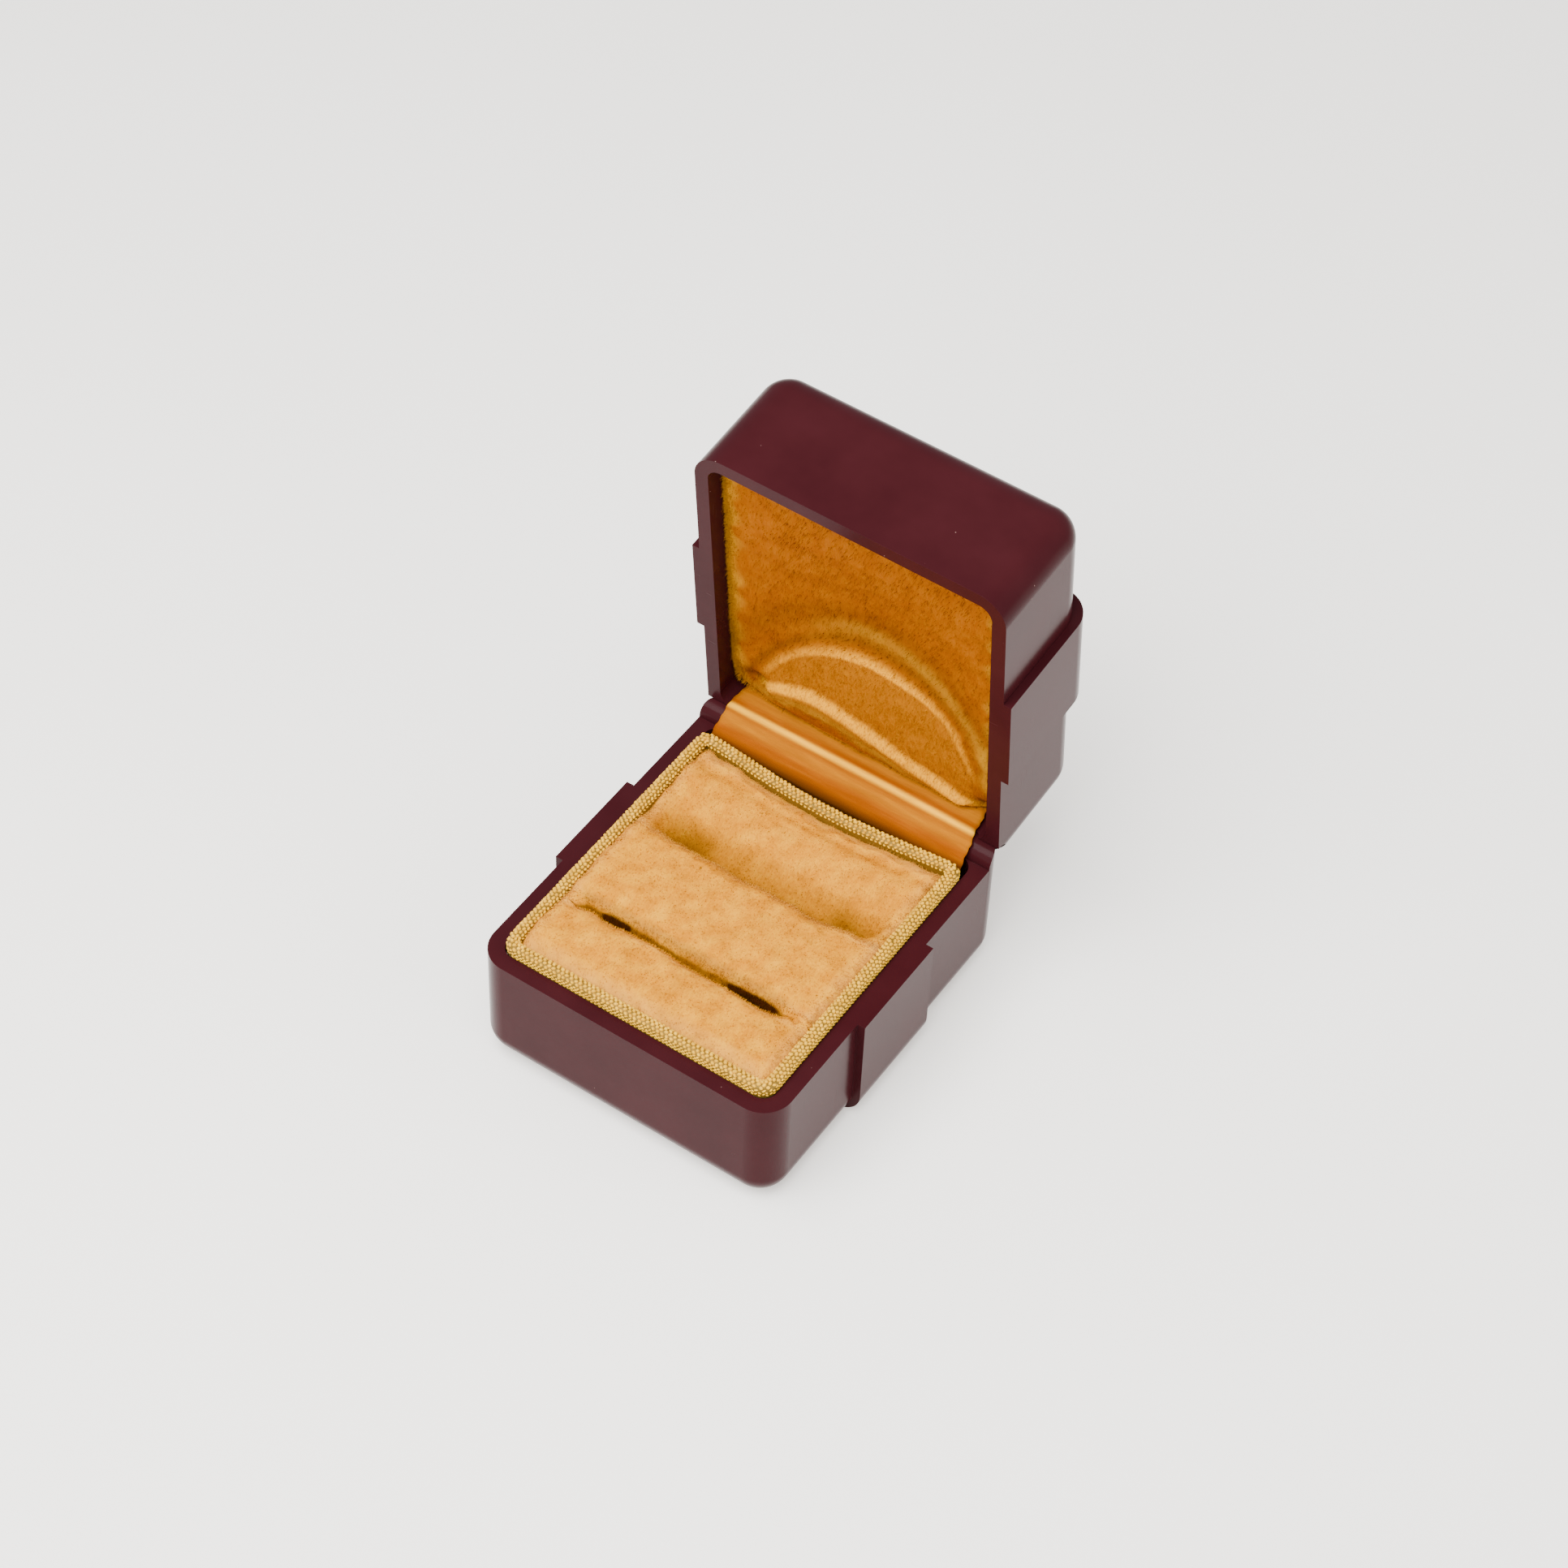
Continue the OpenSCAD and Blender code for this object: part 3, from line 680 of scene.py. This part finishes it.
def lid_pad():
    """The plush pad of the lid: the depth field, with edges rounded down to the walls,
    turned from the shut lid to the open one. Gives what ring_pad gives."""
    front, rear = -24.2, 22.1
    half = 20.35
    rim = 18.7
    rows, columns = 260, 220
    u = np.linspace(-1, 1, columns)[None]
    v = np.linspace(0, 1, rows)[:, None]
    x = np.broadcast_to(half * u, (rows, columns)).copy()
    y = np.broadcast_to(front + (rear - front) * v, (rows, columns)).copy()
    depth = lid_depth(x, y)
    side = half - np.abs(x)
    depth += 1.0 * quarter_round(-side, -1.1, 1.1)
    depth += 1.2 * quarter_round(front - y, -1.2, 1.2)
    depth += 2.4 * quarter_round(y, rear - 2.6, 2.6)
    depth += 0.9 * ease(14, 20, np.abs(x)) * ease(13, 21, y)
    depth += 0.1 * ripples(x, y, 7.0, 21) + 0.03 * ripples(x, y, 2.2, 22)
    # Deep enough to clear the ring pad and the braid when the lid is shut.
    depth = np.maximum(depth, 2.1)
    top = np.stack([x, y, rim + depth], axis=-1)
    outside, past = lid_lines(x, y)
    above = ease(0.5, -0.5, past)
    # Along the side walls a band of painted sheen, where the pile is seen from the side; the band widens
    # towards the hinge.
    band = 2.2 + 1.6 * hump(y, 10, 9) * (x > 0) + 0.6 * (x < 0)
    band = band * (1 + 0.25 * ripples(0 * x, y, 3.0, 23))
    painted_edge_sheen = ease(band, 0.1 * band, side)
    # On the lid pad this pale mark is all painted sheen: the side band, an olive band outside the arch and
    # one past the ridge.
    dust_and_sheen = 0.75 * painted_edge_sheen + 0.55 * hump(outside, 3.9, 2.6) * above * ease(-14, 0, x)
    dust_and_sheen += 0.6 * hump(past, 2.6, 1.9)
    # Painted shade along the pad's edge at the hinge, outside the arch, in the dish and at the two tucks.
    painted_shade = 0.8 * ease(rear - 1.2, rear - 0.3, y) + 0.35 * hump(outside, 1.9, 1.1) * above * ease(20, 10, x)
    painted_shade += 0.22 * hump(outside, 6.6, 3.2) * above + 0.5 * pinch(x, y)
    # Painted highlight along the arch, the ridge and the pad's edge at the hinge, and fainter over the side
    # band and the plateau.
    arch = ease(1.3, 0.1, outside) * ease(-0.6, 0.1, outside) * above
    painted_highlight = arch * (0.55 + 0.45 * hump(x, 3, 14)) * ease(17, 12, y)
    painted_highlight += ease(-0.5, 0.3, past) * ease(1.7, 0.6, past) * ease(18.5, 15.5, np.abs(x - LID_MIDDLE_X))
    painted_highlight += 0.55 * ease(rear - 2.0, rear - 1.3, y) * ease(rear - 0.5, rear - 1.0, y)
    painted_highlight += 0.3 * painted_edge_sheen + 0.2 * ease(0.2, -1.0, outside) * above
    # The face looks down when the lid is shut, so its rows run the other way.
    colours = {"dust_and_sheen": np.clip(dust_and_sheen, 0, 0.9), "painted_shade": np.clip(painted_shade, 0, 0.9), "painted_highlight": np.clip(painted_highlight, 0, 1)}
    colours = {key: grid[::-1] for key, grid in colours.items()}
    piece = closed_pad("lid_plush", top[::-1], 35.0, PLUSH, colours)
    turn_open(piece)
    lid_wadding(x, y, rim + depth)
    length = 0.35 + 0.5 * ease(2.7, 3.3, depth)
    edges = 0.4 + 9 * hump(side, 0.3, 1.4) * ease(21, 18, y)
    return piece, length[::-1], edges[::-1], colours


def lid_wadding(x, y, z):
    """The wadding that fills the lid pad: every fourth point of the pad's face, drawn in
    a little from its sides and 1.6 mm under it."""
    inner = np.stack([x * 0.94, y * 0.94 - 0.05, z + 1.6], axis=-1)[::-4, ::4]
    wadding = closed_pad("lid_wadding", inner, 34.9, WADDING, {})
    turn_open(wadding)
    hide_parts("lid_pad_wadding")
    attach(wadding, "lid")


def turn_open(piece):
    """Turns a piece made in the shut lid's place to the open lid's."""
    turned = opened(points_of(piece)) * MM
    piece.data.vertices.foreach_set("co", turned.ravel())
    piece.data.update()


def wadding_roll(node):
    """One of the rolls under the velvet: a long soft loaf whose section is a rounded
    square (a superellipse of power 3), closing to its two ends, a little lumpy."""
    low, high = mm_box(node)
    middle, half = (low + high) / 2, (high - low) / 2 - 0.15
    rows, columns = 65, 40
    t = np.linspace(-1, 1, rows)[:, None]
    turn = np.linspace(0, math.tau, columns, endpoint=False)[None]
    swell = np.maximum((1 - np.abs(t) ** 12) ** 0.25, 1e-4)
    cos, sin = np.cos(turn), np.sin(turn)
    radius = (np.abs(cos) ** 3 + np.abs(sin) ** 3) ** (-1 / 3)
    radius = radius * swell * (0.965 + 0.02 * ripples(t * 17, turn * 4, 6.0, 31))
    y = middle[1] + half[1] * radius * cos
    z = middle[2] + half[2] * radius * sin
    x = np.broadcast_to(middle[0] + half[0] * t, y.shape)
    faces = quads(rows, columns, wrap_columns=True).tolist()
    faces += [list(range(columns - 1, -1, -1)), list(range((rows - 1) * columns, rows * columns))]
    roll = make(node + "_wadding", np.stack([x, y, z], axis=-1), faces, WADDING)
    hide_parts(node)
    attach(roll, "base")


for roll_node in ("front_roll", "middle_roll", "rear_roll"):
    wadding_roll(roll_node)


def stuff(piece, pressure, cap_mm, pinned):
    """Fills a pad by cloth simulation: the piece is scaled up, blown out a little under
    pressure with gravity off, and no point moves more than cap_mm. Pinned is a 0-1 hold
    for each point."""
    if not SIMULATE:
        return
    scale = 20
    last_frame = 20
    mesh = piece.data
    start = np.empty(len(mesh.vertices) * 3)
    mesh.vertices.foreach_get("co", start)
    mesh.vertices.foreach_set("co", start * scale)
    group = piece.vertex_groups.new(name="hold")
    hold = np.round(pinned, 1)
    for level in np.unique(hold[hold > 0]):
        group.add(np.flatnonzero(hold == level).tolist(), float(level), "REPLACE")
    cloth = piece.modifiers.new("stuffing", "CLOTH")
    cloth.settings.quality = 4
    cloth.settings.mass = 0.3
    cloth.settings.tension_stiffness = 8
    cloth.settings.compression_stiffness = 8
    cloth.settings.bending_stiffness = 0.8
    cloth.settings.use_pressure = True
    cloth.settings.uniform_pressure_force = pressure
    cloth.settings.vertex_group_mass = "hold"
    cloth.settings.shrink_min = -0.015
    cloth.settings.effector_weights.gravity = 0
    cloth.collision_settings.use_collision = False
    cloth.point_cache.frame_start = 1
    cloth.point_cache.frame_end = last_frame
    for number in range(1, last_frame + 1):
        bpy.context.scene.frame_set(number)
    graph = bpy.context.evaluated_depsgraph_get()
    settled = np.empty_like(start)
    piece.evaluated_get(graph).data.vertices.foreach_get("co", settled)
    piece.modifiers.remove(cloth)
    bpy.context.scene.frame_set(1)
    move = (settled / scale - start).reshape(-1, 3)
    far = np.linalg.norm(move, axis=1, keepdims=True)
    move *= np.minimum(1, cap_mm * MM / np.maximum(far, 1e-12))
    mesh.vertices.foreach_set("co", start + move.ravel())
    mesh.update()


def pile(name, pad, length, weight, count, width, lean, seed, colours):
    """Single strands of pile rooted on a pad's upper face: each is a closed three-sided
    spike of two rings and a tip, which leans over. Where they stand is drawn at random by
    the weight given at each point of the face. Each is about as long as its root says
    and takes the colours of its root."""
    rng = np.random.default_rng(seed)
    face = points_of(pad)[:length.size].reshape(*length.shape, 3)
    normal = np.cross(np.gradient(face, axis=1), np.gradient(face, axis=0))
    size = np.linalg.norm(normal, axis=2)
    normal /= np.maximum(size, 1e-9)[..., None]
    share = (size * weight).ravel()
    root_number = rng.choice(share.size, count, p=share / share.sum())
    root, up = face.reshape(-1, 3)[root_number], normal.reshape(-1, 3)[root_number]
    root = root + rng.normal(0, 0.07, (count, 3)) * (1 - np.abs(up))
    tilt = np.asarray(lean, float) + rng.normal(0, 0.45, (count, 3))
    tilt -= up * np.sum(tilt * up, axis=1, keepdims=True)
    tall = (length.ravel()[root_number] * rng.uniform(0.6, 1.25, count))[:, None]
    side_one = np.cross(up, tilt)
    side_one /= np.maximum(np.linalg.norm(side_one, axis=1, keepdims=True), 1e-9)
    side_two = np.cross(up, side_one)
    rings = []
    for level, reach, thick in ((-0.15, 0.0, 1.0), (0.5, 0.22, 0.75)):
        middle = root + up * tall * level + tilt * tall * reach
        for turn in (0, math.tau / 3, 2 * math.tau / 3):
            out = side_one * math.cos(turn) + side_two * math.sin(turn)
            rings.append(middle + out * width / 2 * thick)
    rings.append(root + up * tall * 0.85 + tilt * tall * 0.62)
    strands = np.stack(rings, axis=1)
    spike = [[0, 1, 4, 3], [1, 2, 5, 4], [2, 0, 3, 5]]
    tip = [[3, 4, 6], [4, 5, 6], [5, 3, 6], [0, 2, 1]]
    each = strands.shape[1]
    first = np.arange(count)[:, None] * each
    faces = [row for part in spike + tip for row in (first + np.array(part)).tolist()]
    values = {key: np.repeat(grid.ravel()[root_number], each) for key, grid in colours.items()}
    return make(name, strands, faces, pad.data.materials[0], values)


def finish_ring_pad():
    """The ring pad, stuffed with what lies under the braid held, and its loose pile."""
    piece, length, edges, colours = ring_pad()
    z = points_of(piece)[:, 2]
    stuff(piece, 3.0, 0.3, np.where(z < 17.8, 1.0, 0.0))
    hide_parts("ring_pad_velvet")
    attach(piece, "base")
    strands = pile("ring_pad_nap", piece, length, edges, 16000, 0.07, (0.2, -0.5, 0), 51, colours)
    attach(strands, "base")


def finish_lid_pad():
    """The lid pad, stuffed with its border and its back held, and its loose pile."""
    piece, length, edges, colours = lid_pad()
    x, y, z = points_of(piece).T
    free = ease(20.0, 18.5, np.abs(x)) * ease(23.5, 25.5, z) * ease(68.0, 66.0, z) * ease(36.0, 34.0, y)
    stuff(piece, 2.0, 0.15, 1 - free)
    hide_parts("lid_pad_velvet")
    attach(piece, "lid")
    strands = pile("lid_plush_nap", piece, length, edges, 16000, 0.07, (0, -0.5, -0.5), 52, colours)
    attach(strands, "lid")


finish_ring_pad()
finish_lid_pad()


# ---------------------------------------------------------------- the gimp braid


BRAID_Z = mm_box("braid_trim")[1][2] - 1.06
BRAID_CORE = 0.8


def braid_line(count):
    """The braid's centre line: a rectangle with round corners, its rear side bowed
    inwards. Gives points, unit directions and the length round."""
    low, high = mm_box("braid_trim")
    inset, front_corner, rear_corner = 0.8, 1.4, 0.7
    left, right = low[0] + inset, high[0] - inset
    front, rear = low[1] + inset, high[1] - inset
    corners = [(right, front, -90, front_corner), (right, rear, 0, rear_corner),
               (left, rear, 90, rear_corner), (left, front, 180, front_corner)]
    turn = np.radians(np.linspace(0, 90, 13))
    outline = []
    for cx, cy, start, radius in corners:
        cx, cy = cx - math.copysign(radius, cx), cy - math.copysign(radius, cy)
        angle = math.radians(start) + turn
        outline.append(np.stack([cx + radius * np.cos(angle), cy + radius * np.sin(angle)], axis=1))
    outline = np.vstack(outline + [outline[0][:1]])
    along = run(outline)
    at = np.linspace(0, along[-1], count, endpoint=False)
    line = np.stack([np.interp(at, along, outline[:, k]) for k in (0, 1)], axis=1)
    line[:, 1] -= rear_sag(line[:, 0]) * ease(12, rear - 0.5, line[:, 1])
    ahead = np.roll(line, -1, axis=0) - np.roll(line, 1, axis=0)
    ahead /= np.linalg.norm(ahead, axis=1, keepdims=True)
    return line, ahead, along[-1]


def braid_frame(count, angle, radius, shift=0.0):
    """Points on the braid's skin at one angle of its section (0 outwards, 90 up, 180
    inwards), with the direction along, the direction across the skin and the skin's
    normal. Below the middle the sides go straight down. Shift moves the points along by
    that share of the distance between two."""
    finer = 8
    line, ahead, _ = braid_line(count * finer)
    start = int(round(shift * finer)) % finer
    line, ahead = line[start::finer], ahead[start::finer]
    outward = np.stack([ahead[:, 1], -ahead[:, 0], 0 * ahead[:, 0]], axis=1)
    up = np.array([0.0, 0.0, 1.0])
    a = math.radians(angle)
    upright = -90 < angle < 0 or 180 < angle < 270
    bulge = math.copysign(1, math.cos(a)) if upright else math.cos(a)
    normal = outward * bulge + up * (0 if upright else math.sin(a))
    forward = np.column_stack([ahead, np.zeros(count)])
    across = np.cross(normal, forward)
    lowered = up * (radius * math.sin(a) if upright else 0)
    middle = np.column_stack([line, np.full(count, BRAID_Z)])
    return middle + normal * radius + lowered, forward, across, normal


def egg_shape():
    """One stitch: a unit ball of three rings of eight points and two poles."""
    around = 8
    turn = np.linspace(0, math.tau, around, endpoint=False)
    tilt = np.radians([-52.0, 0.0, 52.0])[:, None]
    height = np.broadcast_to(np.sin(tilt), (3, around))
    rings = np.stack([np.cos(turn) * np.cos(tilt), np.sin(turn) * np.cos(tilt), height], axis=-1)
    points = np.vstack([[[0, 0, -1]], rings.reshape(-1, 3), [[0, 0, 1]]])
    here = np.arange(around)
    beside = (here + 1) % around
    top = len(points) - 1
    faces = (1 + quads(3, around, wrap_columns=True)).tolist()
    faces += [[0, 1 + b, 1 + a] for a, b in zip(here, beside)]
    faces += [[top, top - around + a, top - around + b] for a, b in zip(here, beside)]
    return points, faces


# The braid's rows of stitches: angle in the section, pitch along, and each stitch's
# length, width and height over the core.
STITCH_ROWS = [
    (-38, 0.60, 0.52, 0.24, 0.14), (-19, 0.60, 0.52, 0.24, 0.15), (0, 0.60, 0.52, 0.25, 0.16),
    (22, 0.60, 0.54, 0.28, 0.19), (48, 0.68, 0.62, 0.44, 0.26), (78, 0.68, 0.64, 0.50, 0.28),
    (110, 0.68, 0.64, 0.48, 0.28), (140, 0.66, 0.58, 0.38, 0.24), (168, 0.62, 0.50, 0.26, 0.18)]


def braid_core(around=480):
    """The core under the stitches: a section of fourteen points round the top and two
    below, carried round the line. Gives its points and faces."""
    foot_drop = 1.9
    section = [braid_frame(around, angle, BRAID_CORE + 0.02)[0] for angle in np.linspace(-50, 230, 14)]
    for angle in (180, 0):
        line = braid_frame(around, angle, BRAID_CORE)[0]
        line[:, 2] = BRAID_Z - foot_drop
        section.append(line)
    return np.stack(section, axis=1).reshape(-1, 3), quads(around, len(section), True, True)[:, ::-1]


def braid():
    """The gimp braid: a core tube, plump oval stitches in rows over its top, and finer
    staggered stitches down its sides. Each stitch is the unit ball stretched along three
    directions: along the braid, turned a little one way or the other, across and up."""
    rng = np.random.default_rng(7)
    egg, egg_faces = egg_shape()
    round_length = braid_line(400)[2]
    points, faces, core_value = [], [], []
    total = 0
    for number, (angle, pitch, length, width, height) in enumerate(STITCH_ROWS):
        count = int(round(round_length / pitch))
        spot, forward, across, normal = braid_frame(count, angle, BRAID_CORE, 0.5 * (number % 2))
        size = rng.uniform(0.85, 1.12, (count, 3))
        lean = np.radians(rng.normal(24 if number % 2 else -24, 9, count))[:, None]
        long_way = forward * np.cos(lean) + across * np.sin(lean)
        wide_way = -forward * np.sin(lean) + across * np.cos(lean)
        spot = spot + forward * rng.normal(0, 0.03, (count, 1)) + across * rng.normal(0, 0.025, (count, 1))
        eggs = spot[:, None]
        reach = size * (length / 2, width / 2, height)
        for axis, way in enumerate((long_way, wide_way, normal)):
            eggs = eggs + egg[None, :, axis, None] * way[:, None] * reach[:, axis][:, None, None]
        points.append(eggs.reshape(-1, 3))
        first = total + np.arange(count)[:, None] * len(egg)
        faces += [row for face in egg_faces for row in (first + np.array(face)).tolist()]
        core_value.append(np.zeros(count * len(egg)))
        total += count * len(egg)
    core, core_faces = braid_core()
    points.append(core)
    faces += (total + core_faces).tolist()
    core_value.append(np.ones(len(core)))
    piece = make("gimp_braid", np.vstack(points), faces, GIMP, {"core": np.concatenate(core_value)})
    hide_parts("braid_trim")
    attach(piece, "base")


braid()


# ---------------------------------------------------------------- kept CAD nodes


def dress(nodes, material):
    """Gives CAD nodes a material."""
    for node in nodes:
        slots = frame["nodes"][node].data.materials
        slots.clear()
        slots.append(material)


dress(["pad_base_card", "pad_wall_card", "lid_pad_card"], BOARD)


# ---------------------------------------------------------------- floor, light and camera


def floor():
    """A plain pale floor, wide enough to fill the view."""
    cloud_mm = 60.0
    reach = 3000.0
    material, tree, place = blank("pale_matt_paper")
    cloud = add(tree, "TexNoise", {"Vector": place, "Scale": 1 / cloud_mm, "Detail": 2.0, "Roughness": 0.55})
    tone = add(tree, "ValToRGB", {"Fac": cloud}, [(0.3, "#F6F3ED"), (0.7, "#F8F5F0")])
    add(tree, SURFACE, {"Base Color": tone, "Roughness": 0.8, "Specular IOR Level": 0.2})
    # It glows faintly, so that it stays as pale as paper under a soft light.
    add(tree, SURFACE, {"Emission Color": linear("#FFF8EC"), "Emission Strength": 0.55})
    corners = reach * np.array([(-1, -1, 0), (1, -1, 0), (1, 1, 0), (-1, 1, 0)])
    make("floor", corners, [[0, 1, 2, 3]], material)


def area_light(name, at, size, watts):
    """A square soft light at a place in millimetres, facing the middle of the box."""
    lamp = bpy.data.lights.new(name, "AREA")
    lamp.size = size * MM
    lamp.energy = watts
    light = bpy.data.objects.new(name, lamp)
    look = Vector((0, 0, 20)) - Vector(at)
    facing = look.to_track_quat("-Z", "Y").to_matrix().to_4x4()
    light.matrix_world = Matrix.Translation(Vector(at) * MM) @ facing
    bpy.context.scene.collection.objects.link(light)


def studio():
    """An even pale room with a broad soft light overhead."""
    world = bpy.data.worlds.new("pale_room")
    world.use_nodes = True
    background = world.node_tree.nodes["Background"]
    background.inputs["Color"].default_value = linear("#EFF1F6")
    background.inputs["Strength"].default_value = 0.95
    bpy.context.scene.world = world
    area_light("overhead", (-40, -170, 430), 380, 5.5)
    area_light("front_fill", (-60, -560, 240), 420, 1.0)
    area_light("right_fill", (520, 60, 300), 420, 1.8)


def camera():
    """A long lens from the front right, looking down."""
    azimuth, elevation, roll = (math.radians(a) for a in (32.239, 49.055, 2.71))
    back = np.array([math.sin(azimuth) * math.cos(elevation), -math.cos(azimuth) * math.cos(elevation),
                     math.sin(elevation)])
    level = np.array([math.cos(azimuth), math.sin(azimuth), 0.0])
    upright = np.cross(back, level)
    right = level * math.cos(roll) + upright * math.sin(roll)
    up = upright * math.cos(roll) - level * math.sin(roll)
    view = Matrix.Identity(4)
    for column, axis in enumerate((right, up, back)):
        view.col[column][:3] = axis
    stand = np.array([174.15, -267.95, 409.69])
    view.col[3][:3] = stand * MM
    lens = bpy.data.cameras.new("camera")
    lens.sensor_width = 36.0
    lens.lens = 91.98
    eye = bpy.data.objects.new("camera", lens)
    eye.matrix_world = view
    bpy.context.scene.collection.objects.link(eye)
    bpy.context.scene.camera = eye


floor()
studio()
camera()
